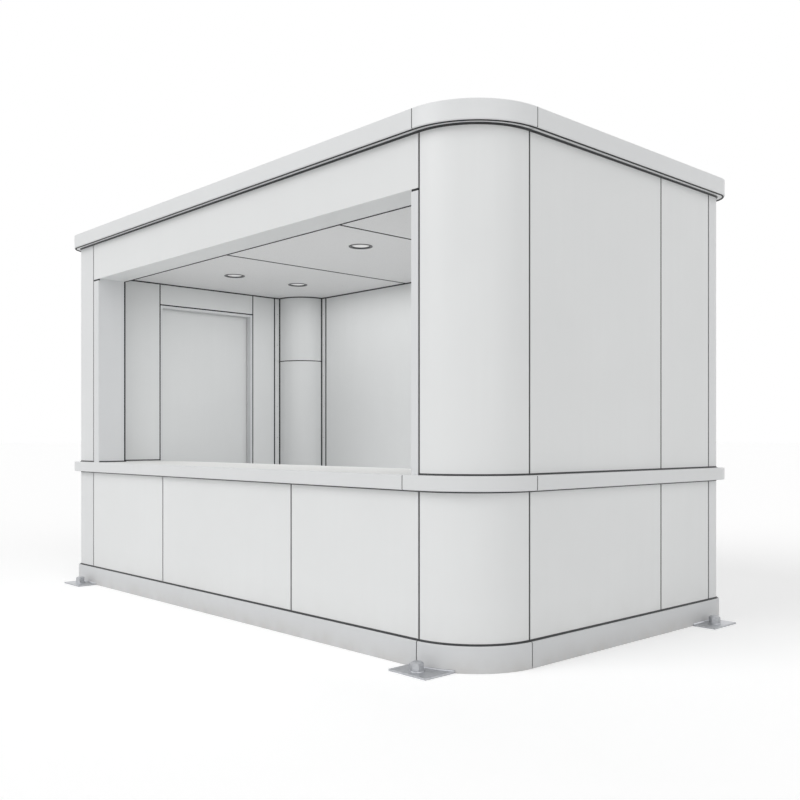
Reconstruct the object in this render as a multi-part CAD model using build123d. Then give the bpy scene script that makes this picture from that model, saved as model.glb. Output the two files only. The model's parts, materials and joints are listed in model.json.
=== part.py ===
"""Service booth: a one-room prefabricated sales booth with a wide serving hatch.

Millimetres, +Z up. The origin is on the ground at the middle of the footprint. The serving
hatch is in the front wall (-Y), the staff door in the left wall (-X), and the large round
corner is at the front right.
"""
from build123d import *
import math
import os

# Outline of the walls
width = 4250
depth = 2250
total_height = 2700
large_corner_radius = 378
small_corner_radius = 90
wall_thickness = 100

# Sandwich panels: the outer skin stops short of the core, which leaves a shadow gap
skin_depth = 12
shadow_gap = 12
fit = 0.5

# Plinth and floor
plinth_height = 128
plinth_reach = 17
plinth_inner_width = 120
plinth_web = 8
plinth_flange = 10
plinth_edge_chamfer = 4
floor_thickness = 28
bearer_width = 60
bearer_count = 5

# Bands: plinth, rail and roof cap are made in lengths, with a thin joint between them
band_joint = 6
band_seam = 150

# Rail at counter height
rail_bottom = 858
rail_height = 73
rail_reach = 49
rail_edge_chamfer = 4
rail_corner_lead = 68

# Corner posts
post_long_leg = 292
post_short_leg = 162

# Panels
front_right_panel = 1040
front_centre_panel = 1468
right_front_panel = 1175

# Serving hatch and counter
header_height = 274
reveal_depth = 220
left_jamb_width = 86
right_jamb_width = 54
counter_depth = 670
counter_thickness = 38
counter_edge_radius = 6
counter_lap = 10
bracket_reach = 430
bracket_height = 360
bracket_toe = 40
bracket_thickness = 8
bracket_flange_width = 60
bracket_flange_thickness = 6
bracket_end_inset = 420

# Staff door
door_clear_width = 870
door_clear_head = 2200
door_lining = 24
door_stop = 12
door_gap = 6
door_leaf_thickness = 36
threshold_height = 12
hinge_axis_out = 11
hinge_barrel_radius = 9
hinge_pin_radius = 5
hinge_height = 110
hinge_flap = 46
hinge_flap_thickness = 4
hinge_running_gap = 0.4
hinge_barrel_gap = 1
hinge_end_inset = 260
hinge_count = 3
handle_inset = 70
handle_rose_radius = 26
handle_rose_depth = 8
handle_neck_radius = 10
handle_reach = 48
handle_lever_length = 125
handle_lever_height = 20
handle_lever_depth = 12

# Ceiling and lights
roof_void = 200
ceiling_thickness = 30
ceiling_centre_panel = 1250
light_end_inset = 730
light_middle_offset = 239
light_rear_inset = 610
light_row_pitch = 620
light_flange_radius = 80
light_flange_depth = 4
light_body_radius = 68
light_body_height = 64
light_lens_radius = 58
light_lens_recess = 10

# Rounded casing in the rear left corner of the room
casing_width = 286
casing_depth = 275
casing_radius = 240
casing_joint_height = 1820
casing_joint = 3
casing_trim_width = 52
casing_trim_thickness = 6

# Roof
roof_cap_height = 100
roof_cap_reach = 50
roof_cap_inner_width = 60
roof_cap_edge_chamfer = 4
roof_eaves_thickness = 30
roof_ridge_thickness = 60
roof_seam_height = 22
roof_seam_width = 12
roof_seam_pitch = 460

# Ground anchors
anchor_plate_length = 250
anchor_plate_reach = 140
anchor_plate_thickness = 10
anchor_plate_under = 80
anchor_notch_clearance = 1
anchor_inset = 250
anchor_corner_inset = 300
anchor_bolt_radius = 12
anchor_hole_clearance = 1
anchor_washer_radius = 38
anchor_washer_thickness = 6
anchor_hex_flats = 58
anchor_hex_height = 40
anchor_hex_chamfer = 7

# Planes and levels that follow from the sizes above
left = -width / 2
right = width / 2
front = -depth / 2
back = depth / 2
corner_x = right - large_corner_radius
corner_y = front + large_corner_radius
wall_top = total_height - roof_cap_height
header_bottom = wall_top - header_height
ceiling_height = wall_top - roof_void
rail_top = rail_bottom + rail_height
counter_underside = rail_top - counter_thickness
hatch_left = left + post_long_leg
front_seam_right = corner_x - front_right_panel
front_seam_left = front_seam_right - front_centre_panel
right_seam = corner_y + right_front_panel
doorway_half = door_clear_width / 2 + door_lining
doorway_head = door_clear_head + door_lining
hinge_x = left - hinge_axis_out
hinge_y = -(door_clear_width / 2 + door_stop) + door_gap / 2
handle_height = rail_bottom
light_left = left + wall_thickness + light_end_inset
light_right = right - wall_thickness - light_end_inset
light_rear = back - wall_thickness - light_rear_inset
past = 400
cut = 1


def block(x0, x1, y0, y1, z0, z1):
    """Box between two opposite corners."""
    middle = Pos((x0 + x1) / 2, (y0 + y1) / 2, (z0 + z1) / 2)
    return middle * Box(x1 - x0, y1 - y0, z1 - z0)


def plan(offset):
    """Outline of the booth from above, moved out by offset: one large corner, three small ones."""
    half_w = width / 2 + offset
    half_d = depth / 2 + offset
    corners = [
        (half_w, -half_d, large_corner_radius + offset),
        (-half_w, -half_d, small_corner_radius + offset),
        (-half_w, half_d, small_corner_radius + offset),
        (half_w, half_d, small_corner_radius + offset),
    ]
    outline = Rectangle(2 * half_w, 2 * half_d)
    for x, y, radius in corners:
        if radius > 0:
            at_corner = outline.vertices().sort_by_distance((x, y, 0))[0]
            outline = fillet(at_corner, radius)
    return outline


def prism(offset, z0, z1):
    """Solid of the whole plan between two levels."""
    return Pos(0, 0, z0) * extrude(plan(offset), z1 - z0)


def ring(outer, inner, z0, z1, top_chamfer=0, bottom_chamfer=0):
    """Closed band round the booth, with its outer edges broken."""
    body = prism(outer, z0, z1)
    if top_chamfer:
        body = chamfer(body.edges().group_by(Axis.Z)[-1], top_chamfer)
    if bottom_chamfer:
        body = chamfer(body.edges().group_by(Axis.Z)[0], bottom_chamfer)
    return body - prism(inner, z0 - cut, z1 + cut)


def save(name, *solids):
    """Write one named piece, or several like pieces that don't touch."""
    shape = solids[0] if len(solids) == 1 else Compound(children=list(solids))
    export_step(shape, f"parts/{name}.step")


wall_core = ring(-skin_depth, -wall_thickness, plinth_height, wall_top)
wall_skin = ring(0, -skin_depth, plinth_height, wall_top)


def wall_panel(x0, x1, y0, y1, z0, z1, skin_z0=None, skin_z1=None):
    """One wall panel: full-depth core, and a skin held back by half a shadow gap at each seam."""
    inset = shadow_gap / 2
    low = z0 if skin_z0 is None else skin_z0
    high = z1 if skin_z1 is None else skin_z1
    core = wall_core & block(x0, x1, y0, y1, z0, z1)
    skin = wall_skin & block(x0 + inset, x1 - inset, y0 + inset, y1 - inset, low, high)
    return core + skin


def band_lengths(band, corner_seam_x):
    """Cut a closed band into its five lengths, with a joint between each two."""
    low = -past
    half = band_joint / 2
    top = total_height + past
    x_end = right - band_seam
    y_near = front + band_seam
    y_far = back - band_seam
    pieces = {
        "front": block(left - past, corner_seam_x - half, front - past, y_near - half, low, top),
        "corner": block(corner_seam_x + half, right + past, front - past, corner_y - half, low, top),
        "right": block(x_end + half, right + past, corner_y + half, back + past, low, top),
        "back": block(left - past, x_end - half, y_far + half, back + past, low, top),
        "left": block(left - past, left + band_seam, y_near + half, y_far - half, low, top),
    }
    return {name: band & region for name, region in pieces.items()}


def anchor_frames():
    """Place of each anchor: a point on the wall plane and the turn that faces outwards."""
    inner_x = left + anchor_inset
    outer_x = right - anchor_corner_inset
    end_y = back - anchor_inset
    return [
        Pos(inner_x, front, 0) * Rot(0, 0, 0),
        Pos(outer_x, front, 0) * Rot(0, 0, 0),
        Pos(inner_x, back, 0) * Rot(0, 0, 180),
        Pos(outer_x, back, 0) * Rot(0, 0, 180),
        Pos(right, end_y, 0) * Rot(0, 0, 90),
        Pos(left, end_y, 0) * Rot(0, 0, -90),
    ]


def anchor_plate(side_clearance=0.0):
    """Flat plate that runs out from under the plinth, towards -Y."""
    half = anchor_plate_length / 2 + side_clearance
    near = anchor_plate_under + side_clearance
    far = plinth_reach + anchor_plate_reach
    return block(-half, half, -far, near, 0, anchor_plate_thickness)


def anchor_bolt():
    """Hexagon bolt with a washer, down through the plate."""
    out = -(plinth_reach + anchor_plate_reach / 2)
    seat = anchor_plate_thickness
    head = seat + anchor_washer_thickness
    washer = Pos(0, out, seat + anchor_washer_thickness / 2)
    bolt = washer * Cylinder(anchor_washer_radius, anchor_washer_thickness)
    hexagon = extrude(RegularPolygon(anchor_hex_flats / 2, 6, major_radius=False), anchor_hex_height)
    bolt += Pos(0, out, head) * chamfer(hexagon.edges().group_by(Axis.Z)[-1], anchor_hex_chamfer)
    bolt += Pos(0, out, seat / 2) * Cylinder(anchor_bolt_radius, seat)
    return bolt


def build_base():
    """Channel plinth in five lengths, floor deck on its bearers, anchor plates and bolts."""
    plinth = ring(plinth_reach, -plinth_inner_width, 0, plinth_height, plinth_edge_chamfer)
    web_inside = plinth_reach - plinth_web
    plinth -= prism(web_inside, plinth_flange, plinth_height - plinth_flange)
    for place in anchor_frames():
        plinth -= place * anchor_plate(anchor_notch_clearance)
    for name, piece in band_lengths(plinth, corner_x).items():
        save(f"plinth_{name}", piece)
    floor_underside = plinth_height - floor_thickness
    save("floor_deck", prism(-plinth_inner_width - fit, floor_underside, plinth_height))
    pitch = (width - 2 * plinth_inner_width) / (bearer_count + 1)
    half = bearer_width / 2
    reach = depth / 2 + web_inside
    bearers = []
    for index in range(bearer_count):
        x = left + plinth_inner_width + pitch * (index + 1)
        bearers.append(block(x - half, x + half, -reach, reach, plinth_flange, floor_underside))
    save("floor_bearers", *bearers)
    out = -(plinth_reach + anchor_plate_reach / 2)
    hole_radius = anchor_bolt_radius + anchor_hole_clearance
    hole = Pos(0, out, 0) * Cylinder(hole_radius, 4 * anchor_plate_thickness)
    save("anchor_plates", *[place * (anchor_plate() - hole) for place in anchor_frames()])
    save("anchor_bolts", *[place * anchor_bolt() for place in anchor_frames()])


def build_walls():
    """Wall panels, the curved corner panel and the three corner posts."""
    out_y = front - past
    in_y = front + wall_thickness + cut
    low = plinth_height
    top = wall_top
    under = counter_underside
    save("front_panel_left", wall_panel(hatch_left, front_seam_left, out_y, in_y, low, under))
    save("front_panel_centre", wall_panel(front_seam_left, front_seam_right, out_y, in_y, low, under))
    save("front_panel_right", wall_panel(front_seam_right, corner_x, out_y, in_y, low, under))
    save("corner_panel", wall_panel(corner_x, right + past, out_y, corner_y, low, top))
    in_x = right - wall_thickness - cut
    save("right_panel_front", wall_panel(in_x, right + past, corner_y, right_seam, low, top))
    far_y = back - post_short_leg
    save("right_panel_rear", wall_panel(in_x, right + past, right_seam, far_y, low, top))
    near = back - wall_thickness - cut
    end = back + past
    post_x = right - post_long_leg
    save("back_panel_left", wall_panel(hatch_left, front_seam_left, near, end, low, top))
    save("back_panel_centre", wall_panel(front_seam_left, front_seam_right, near, end, low, top))
    save("back_panel_right", wall_panel(front_seam_right, post_x, near, end, low, top))
    out_x = left - past
    inner_x = left + wall_thickness + cut
    near_y = front + post_short_leg
    save(
        "left_panels",
        wall_panel(out_x, inner_x, near_y, -doorway_half, low, top),
        wall_panel(out_x, inner_x, doorway_half, far_y, low, top),
    )
    save("over_door_panel", wall_panel(out_x, inner_x, -doorway_half, doorway_half, doorway_head, top))
    save(
        "corner_posts",
        wall_panel(out_x, hatch_left, out_y, near_y, low, top),
        wall_panel(out_x, hatch_left, far_y, end, low, top),
        wall_panel(post_x, right + past, far_y, end, low, top),
    )


def build_rail():
    """Rail round the booth at counter height, open at the staff door."""
    rail = ring(rail_reach, 0, rail_bottom, rail_top, rail_edge_chamfer, rail_edge_chamfer)
    opening = doorway_half + shadow_gap
    rail -= block(left - past, 0, -opening, opening, rail_bottom - cut, rail_top + cut)
    for name, piece in band_lengths(rail, corner_x - rail_corner_lead).items():
        save(f"rail_{name}", piece)


def counter_bracket():
    """Gusset bracket under the counter: a tapered plate with a wall flange and a top flange."""
    y0 = front + wall_thickness
    y1 = y0 + bracket_reach
    top = counter_underside
    low = top - bracket_height
    outline = Polyline(
        (y0, top),
        (y1, top),
        (y1, top - bracket_toe),
        (y0 + bracket_toe, low),
        (y0, low),
        close=True,
    )
    bracket = extrude(Plane.YZ * make_face(outline), bracket_thickness / 2, both=True)
    half = bracket_flange_width / 2
    bracket += block(-half, half, y0, y0 + bracket_flange_thickness, low, top)
    bracket += block(-half, half, y0, y1, top - bracket_flange_thickness, top)
    return bracket


def build_hatch():
    """Header box, hatch jambs, counter and its brackets."""
    inset = shadow_gap / 2
    face = front + skin_depth
    rear = front + reveal_depth
    header = block(hatch_left, corner_x, face, rear, header_bottom, wall_top)
    header += block(hatch_left + inset, corner_x - inset, front, face, header_bottom, wall_top)
    save("header", header)
    jambs = []
    left_end = hatch_left + left_jamb_width
    right_end = corner_x - right_jamb_width
    for x0, x1, skin0, skin1 in (
        (hatch_left, left_end, hatch_left + inset, left_end),
        (right_end, corner_x, right_end, corner_x - inset),
    ):
        jamb = block(x0, x1, face, rear, rail_top, header_bottom)
        jamb += block(skin0, skin1, front, face, rail_top, header_bottom - shadow_gap)
        jambs.append(jamb)
    save("opening_jambs", *jambs)
    rear_edge = front + counter_depth
    inside = prism(-wall_thickness - fit, counter_underside, rail_top)
    counter = inside & block(left, right, front, rear_edge, counter_underside, rail_top)
    tongue_end = front + wall_thickness + counter_lap
    counter += block(hatch_left, corner_x, front, tongue_end, counter_underside, rail_top)
    rear_edges = counter.edges().filter_by(Axis.X).group_by(Axis.Y)[-1]
    save("counter_top", fillet(rear_edges, counter_edge_radius))
    first = hatch_left + bracket_end_inset
    last = corner_x - bracket_end_inset
    bracket = counter_bracket()
    stations = (first, front_seam_left, front_seam_right, last)
    save("counter_brackets", *[Pos(x, 0, 0) * bracket for x in stations])


def build_door():
    """Rebated frame, threshold, flush leaf, lever handles and lift-off hinges."""
    clear = door_clear_width / 2
    rebate = clear + door_stop
    leaf_zone = left + door_leaf_thickness + door_gap
    inner = left + wall_thickness
    jambs = []
    for side in (-1, 1):
        y0, y1 = sorted((side * clear, side * doorway_half))
        jamb = block(left, inner, y0, y1, plinth_height, doorway_head)
        r0, r1 = sorted((side * (clear - cut), side * rebate))
        jamb -= block(left - cut, leaf_zone, r0, r1, plinth_height - cut, doorway_head + cut)
        jambs.append(jamb)
    save("door_jambs", *jambs)
    head = block(leaf_zone, inner, -clear, clear, door_clear_head, doorway_head)
    head += block(left, leaf_zone, -rebate, rebate, door_clear_head + door_stop, doorway_head)
    save("door_head", head)
    threshold_top = plinth_height + threshold_height
    threshold = block(leaf_zone, inner, -clear, clear, plinth_height, threshold_top)
    threshold += block(left, leaf_zone, -rebate, rebate, plinth_height, threshold_top)
    save("door_threshold", threshold)
    leaf_half = rebate - door_gap
    leaf_low = threshold_top + door_gap
    leaf_high = door_clear_head + door_stop - door_gap
    leaf_inner = left + door_leaf_thickness
    save("door_leaf", block(left, leaf_inner, -leaf_half, leaf_half, leaf_low, leaf_high))
    handles = []
    spindle_y = leaf_half - handle_inset
    for outward, face in ((-1, left), (1, leaf_inner)):
        turn = Pos(face, spindle_y, handle_height) * Rot(0, 90 * outward, 0)
        rose = turn * Pos(0, 0, handle_rose_depth / 2) * Cylinder(handle_rose_radius, handle_rose_depth)
        neck = turn * Pos(0, 0, handle_reach / 2) * Cylinder(handle_neck_radius, handle_reach)
        x0, x1 = sorted((face + outward * (handle_reach - handle_lever_depth), face + outward * handle_reach))
        half = handle_lever_height / 2
        tip = spindle_y - handle_lever_length
        lever = block(x0, x1, tip, spindle_y + half, handle_height - half, handle_height + half)
        lever = fillet(lever.edges().filter_by(Axis.X), half * 0.9)
        handles.append(rose + neck + lever)
    save("door_handle", *handles)
    frame_halves = []
    leaf_halves = []
    half = hinge_height / 2
    first = leaf_low + hinge_end_inset
    last = leaf_high - hinge_end_inset
    near = hinge_barrel_radius + hinge_barrel_gap
    flap_out = left - hinge_flap_thickness
    for index in range(hinge_count):
        middle = first + (last - first) * index / (hinge_count - 1)
        frame = block(flap_out, left, hinge_y - hinge_flap, hinge_y - near, middle - half, middle + half)
        frame += block(flap_out, left, hinge_y - near, hinge_y, middle - half, middle)
        frame += Pos(hinge_x, hinge_y, middle - half / 2) * Cylinder(hinge_barrel_radius, half)
        frame += Pos(hinge_x, hinge_y, middle + half * 0.3) * Cylinder(hinge_pin_radius, half * 0.8)
        frame_halves.append(frame)
        seat = middle + hinge_running_gap
        leaf = block(flap_out, left, hinge_y + near, hinge_y + hinge_flap, middle - half, middle + half)
        leaf += block(flap_out, left, hinge_y, hinge_y + near, seat, middle + half)
        leaf += Pos(hinge_x, hinge_y, (seat + middle + half) / 2) * Cylinder(
            hinge_barrel_radius, middle + half - seat
        )
        bore_top = middle + half * 0.7 + hinge_running_gap
        leaf -= Pos(hinge_x, hinge_y, (seat - cut + bore_top) / 2) * Cylinder(
            hinge_pin_radius + hinge_running_gap, bore_top - seat + cut
        )
        leaf_halves.append(leaf)
    save("hinge_frame_halves", *frame_halves)
    save("hinge_leaf_halves", *leaf_halves)


def build_room():
    """Ceiling panels with downlights, and the rounded casing with its flat trims."""
    top = ceiling_height + ceiling_thickness
    ceiling = prism(-wall_thickness - fit, ceiling_height, top)
    header_end = corner_x + fit
    ceiling -= block(hatch_left - fit, header_end, front, front + reveal_depth + fit, ceiling_height, top)
    light_columns = (light_left, light_middle_offset, light_right)
    spots = [(x, y) for x in light_columns for y in (light_rear - light_row_pitch, light_rear)]
    for x, y in spots:
        ceiling -= Pos(x, y, ceiling_height) * Cylinder(light_body_radius + fit, 4 * ceiling_thickness)
    half = ceiling_centre_panel / 2
    gap = shadow_gap / 2
    panels = []
    for x0, x1 in ((left, -half - gap), (-half + gap, half - gap), (half + gap, right)):
        panels.append(ceiling & block(x0, x1, front, back, ceiling_height - cut, top + cut))
    save("ceiling_panels", *panels)
    profile = Polyline(
        (0, ceiling_height - light_flange_depth + light_lens_recess),
        (light_lens_radius, ceiling_height - light_flange_depth + light_lens_recess),
        (light_body_radius, ceiling_height - light_flange_depth),
        (light_flange_radius, ceiling_height - light_flange_depth),
        (light_flange_radius, ceiling_height),
        (light_body_radius, ceiling_height),
        (light_body_radius, ceiling_height + light_body_height),
        (0, ceiling_height + light_body_height),
        close=True,
    )
    light = revolve(Plane.XZ * make_face(profile), Axis.Z)
    save("downlights", *[Pos(x, y, 0) * light for x, y in spots])
    wall_x = left + wall_thickness
    wall_y = back - wall_thickness
    inner_x = wall_x + casing_width
    inner_y = wall_y - casing_depth
    half_joint = casing_joint / 2
    levels = (
        (plinth_height, casing_joint_height - half_joint),
        (casing_joint_height + half_joint, ceiling_height),
    )
    casings = []
    trims = []
    for z0, z1 in levels:
        casing = block(wall_x, inner_x, inner_y, wall_y, z0, z1)
        corner_edge = casing.edges().filter_by(Axis.Z).sort_by_distance((inner_x, inner_y, z0))[0]
        casings.append(fillet(corner_edge, casing_radius))
        thick = casing_trim_thickness
        trims.append(block(wall_x, wall_x + thick, inner_y - casing_trim_width, inner_y, z0, z1))
        trims.append(block(inner_x, inner_x + casing_trim_width, wall_y - thick, wall_y, z0, z1))
    save("corner_casing", *casings)
    save("casing_trims", *trims)


def roof_slab(thickness, lift):
    """Slice across the roof, thickness wide: a low ridge that falls to both long sides."""
    half = depth / 2 - roof_cap_inner_width
    eaves = wall_top + roof_eaves_thickness + lift
    ridge = wall_top + roof_ridge_thickness + lift
    outline = Polyline(
        (-half, wall_top),
        (-half, eaves),
        (0, ridge),
        (half, eaves),
        (half, wall_top),
        close=True,
    )
    return extrude(Plane.YZ * make_face(outline), thickness / 2, both=True)


def build_roof():
    """Roof cap in five lengths, and the roof deck with its standing seams inside it."""
    edge = roof_cap_edge_chamfer
    cap = ring(roof_cap_reach, -roof_cap_inner_width, wall_top, total_height, edge, edge)
    for name, piece in band_lengths(cap, corner_x).items():
        save(f"roof_cap_{name}", piece)
    deck = roof_slab(width, 0)
    seam = roof_slab(roof_seam_width, roof_seam_height)
    seams_each_side = math.floor((width / 2 - roof_cap_inner_width) / roof_seam_pitch)
    for index in range(-seams_each_side, seams_each_side + 1):
        deck += Pos(index * roof_seam_pitch, 0, 0) * seam
    save("roof_deck", deck & prism(-roof_cap_inner_width - fit, wall_top, total_height))


os.makedirs("parts", exist_ok=True)
build_base()
build_walls()
build_rail()
build_hatch()
build_door()
build_room()
build_roof()
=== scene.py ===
# %% [markdown]
# # Service booth
# A one-room sales booth: white sandwich panels with dark joint strips, a rail at counter height,
# a round front corner, a flat capped roof, a plinth and bolted anchor plates. The construction
# arrives as a fixed frame. This file gives every surface its finish and adds the thin things that
# a fitter adds last: seals, screws, lenses and sealant.

# %% Load the frame
import json
import math

import bpy
import numpy as np
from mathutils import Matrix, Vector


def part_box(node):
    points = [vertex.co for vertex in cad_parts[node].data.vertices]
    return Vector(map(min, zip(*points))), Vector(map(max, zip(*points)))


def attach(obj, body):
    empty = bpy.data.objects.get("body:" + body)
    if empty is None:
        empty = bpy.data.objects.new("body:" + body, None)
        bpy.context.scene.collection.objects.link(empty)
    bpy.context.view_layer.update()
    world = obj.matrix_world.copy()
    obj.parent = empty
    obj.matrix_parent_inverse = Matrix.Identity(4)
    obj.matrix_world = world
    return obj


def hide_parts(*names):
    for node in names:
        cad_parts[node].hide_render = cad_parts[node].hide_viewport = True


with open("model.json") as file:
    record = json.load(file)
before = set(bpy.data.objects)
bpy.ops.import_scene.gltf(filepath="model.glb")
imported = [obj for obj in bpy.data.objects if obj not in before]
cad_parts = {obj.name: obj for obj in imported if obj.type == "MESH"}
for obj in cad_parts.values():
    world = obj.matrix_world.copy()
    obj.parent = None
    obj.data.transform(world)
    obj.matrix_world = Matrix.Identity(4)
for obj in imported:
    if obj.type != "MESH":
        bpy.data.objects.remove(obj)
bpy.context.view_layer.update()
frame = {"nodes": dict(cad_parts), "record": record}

nodes = frame["nodes"]
scene = bpy.context.scene
print("pieces in the frame:", len(nodes))

# %% [markdown]
# ## Sizes read from the frame
# Nothing that the frame knows is typed again: the walls' planes, the levels and the large corner's
# radius come from the boxes of its pieces. Only widths that no box gives are named here.

# %% Planes, levels and widths
low, high = 0, 1
wall_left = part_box("left_panels")[low].x
wall_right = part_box("right_panel_front")[high].x
wall_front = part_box("front_panel_centre")[low].y
wall_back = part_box("back_panel_centre")[high].y
corner_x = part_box("corner_panel")[low].x
corner_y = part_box("corner_panel")[high].y
plinth_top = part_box("plinth_front")[high].z
rail_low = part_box("rail_front")[low].z
rail_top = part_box("rail_front")[high].z
wall_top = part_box("corner_panel")[high].z
roof_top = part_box("roof_cap_front")[high].z
header_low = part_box("header")[low].z
ceiling_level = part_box("ceiling_panels")[low].z
large_radius = wall_right - corner_x
SMALL_RADIUS = 0.090
WALL_THICKNESS = 0.100
JOINT = 0.012
BAND_JOINT = 0.006
room_left, room_right = wall_left + WALL_THICKNESS, wall_right - WALL_THICKNESS
room_front, room_back = wall_front + WALL_THICKNESS, wall_back - WALL_THICKNESS
plinth_reach = wall_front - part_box("plinth_front")[low].y
rail_reach = wall_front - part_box("rail_front")[low].y
cap_reach = wall_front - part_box("roof_cap_front")[low].y
print("walls:", round(wall_right - wall_left, 3), "by", round(wall_back - wall_front, 3))

# %% [markdown]
# ## Camera
# A level camera at eye height looks at the round corner. Its place was worked out from the
# drawing's straight lines. A small shift keeps the verticals upright, as an architect's lens does.

# %% Camera
EYE = (4.9779, -4.2627, 1.103)
TURN = 0.8204
FOCAL_PX, IMAGE_PX, HORIZON_PX = 928.81, 800.0, 439.6
SENSOR_MM = 36.0

camera_data = bpy.data.cameras.new("camera")
camera_data.sensor_width = SENSOR_MM
camera_data.lens = SENSOR_MM * FOCAL_PX / IMAGE_PX
camera_data.shift_y = (HORIZON_PX - IMAGE_PX / 2) / IMAGE_PX
camera = bpy.data.objects.new("camera", camera_data)
camera.location = EYE
camera.rotation_euler = (math.pi / 2, 0, TURN)
scene.collection.objects.link(camera)
scene.camera = camera
print("lens:", round(camera_data.lens, 2), "mm")

# %% [markdown]
# ## Node helpers
# Sky, floor and finishes are all trees of nodes. One helper adds a node, one links or sets an
# input, and one ends a tree in either of two shaders, by the kind of ray that arrives.

# %% Node helpers


def add(tree, kind, **values):
    """Adds a node. Each value sets the node's property or, failing that, the input of that name."""
    node = tree.nodes.new(kind)
    for name, value in values.items():
        if hasattr(node, name):
            setattr(node, name, value)
        else:
            node.inputs[name.replace("_", " ")].default_value = value
    return node


def put(value, socket):
    """Links a node's output to an input, or sets a plain number or colour on that input."""
    if isinstance(value, bpy.types.NodeSocket):
        socket.id_data.links.new(value, socket)
    elif isinstance(value, tuple):
        socket.default_value = (*value, 1.0)
    else:
        socket.default_value = value


def by_ray(tree, lighting, shown, output_kind):
    """Ends a tree: shown is for the camera, reflections and glass, lighting for all other rays."""
    path = add(tree, "ShaderNodeLightPath")
    seen = path.outputs["Is Camera Ray"]
    for ray in ("Is Glossy Ray", "Is Transmission Ray"):
        either = add(tree, "ShaderNodeMath", operation="MAXIMUM")
        put(seen, either.inputs[0])
        put(path.outputs[ray], either.inputs[1])
        seen = either.outputs[0]
    choice = add(tree, "ShaderNodeMixShader")
    for output, socket in zip((seen, lighting.outputs[0], shown.outputs[0]), choice.inputs):
        put(output, socket)
    put(choice.outputs[0], add(tree, output_kind).inputs["Surface"])


# %% [markdown]
# ## Sky
# The sky is plain white to the camera and in reflections, but lights the walls less, so that pale
# coatings don't clip.

# %% Sky
SKY_LEVEL = 0.46
WHITE = (1.0, 1.0, 1.0, 1.0)
scene.view_settings.view_transform = "Standard"
world = bpy.data.worlds.new("sky")
scene.world = world
world.use_nodes = True
sky = world.node_tree
sky.nodes.clear()
sky_light = add(sky, "ShaderNodeBackground", Color=WHITE, Strength=SKY_LEVEL)
backdrop = add(sky, "ShaderNodeBackground", Color=WHITE, Strength=1.0)
by_ray(sky, sky_light, backdrop, "ShaderNodeOutputWorld")
print("sky:", SKY_LEVEL, "on the walls")

# %% [markdown]
# ## Lamps
# Two broad suns light the booth like a product on a white cove, the long front brighter than the
# short side. A weak third keeps the back readable. Two soft lamps in the room stand in for its six
# lights, and for their light on its way back from the floor.

# %% Suns and room lamps
ROOM_LAMP_SIZE = (3.2, 1.3)
ROOM_LAMP_Y = 0.15
UNDER_CEILING, OVER_FLOOR = 0.03, 0.25


def lamp(name, kind, energy, turned):
    """A lamp of one kind, turned by three Euler angles."""
    data = bpy.data.lights.new(name, kind)
    data.energy = energy
    fitting = bpy.data.objects.new(name, data)
    fitting.rotation_euler = turned
    scene.collection.objects.link(fitting)
    return fitting


def sun(name, towards, strength, angle):
    """A broad sun. towards points from the booth to the lamp."""
    x, y, z = towards
    tilt = math.acos(z / math.hypot(x, y, z))
    lamp(name, "SUN", strength, (tilt, 0, math.atan2(y, x) + math.pi / 2)).data.angle = math.radians(angle)


def room_lamp(name, height, upwards, energy):
    """A broad lamp inside the room that neither the camera nor a reflection shows."""
    panel = lamp(name, "AREA", energy, (math.pi if upwards else 0.0, 0, 0))
    panel.data.shape = "RECTANGLE"
    panel.data.size, panel.data.size_y = ROOM_LAMP_SIZE
    panel.location = (0.0, ROOM_LAMP_Y, height)
    panel.visible_camera = False
    panel.visible_glossy = False


sun("key", (-0.30, -0.80, 0.55), 1.06, 40)
sun("fill", (0.85, -0.25, 0.50), 0.74, 60)
sun("back", (-0.55, 0.75, 0.45), 0.30, 80)
room_lamp("ceiling_glow", ceiling_level - UNDER_CEILING, False, 17.0)
room_lamp("floor_bounce", plinth_top + OVER_FLOOR, True, 9.0)
print("lamps:", [light.name for light in bpy.data.lights])

# %% [markdown]
# ## Floor
# The floor is a plain pale plane whose diffuse shader keeps the booth's shadow. Emission, for the
# camera and reflections alone, lifts it to the backdrop's white, so that no horizon shows.

# %% Floor
FLOOR_HALF = 300.0
FLOOR_COLOUR = (0.90, 0.90, 0.90, 1.0)
FLOOR_LIFT = 0.265
floor_mesh = bpy.data.meshes.new("floor")
floor_corners = np.array([(-1, -1, 0), (1, -1, 0), (1, 1, 0), (-1, 1, 0)]) * FLOOR_HALF
floor_mesh.from_pydata(floor_corners.tolist(), [], [(0, 1, 2, 3)])
floor = bpy.data.objects.new("floor", floor_mesh)
scene.collection.objects.link(floor)
floor_finish = bpy.data.materials.new("floor")
floor_finish.use_nodes = True
floor_tree = floor_finish.node_tree
floor_tree.nodes.clear()
matt = add(floor_tree, "ShaderNodeBsdfDiffuse", Color=FLOOR_COLOUR)
lift = add(floor_tree, "ShaderNodeEmission", Color=WHITE, Strength=FLOOR_LIFT)
both = add(floor_tree, "ShaderNodeAddShader")
put(matt.outputs[0], both.inputs[0])
put(lift.outputs[0], both.inputs[1])
by_ray(floor_tree, matt, both, "ShaderNodeOutputMaterial")
floor_mesh.materials.append(floor_finish)
print("floor:", 2 * FLOOR_HALF, "m square")

# %% [markdown]
# ## Finishes
# No surface here is one flat colour. Every finish is a few noise or cell patterns on Object
# coordinates, so that they stay put from every side, stretched over a range of tone, gloss and
# height. Each helper adds one such step and returns the output that the next one takes.

# %% Patterns


def new_finish(name):
    """A material with an empty Principled shader, and its object coordinates."""
    material = bpy.data.materials.new(name)
    material.use_nodes = True
    return material, add(material.node_tree, "ShaderNodeTexCoord").outputs["Object"]


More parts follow.
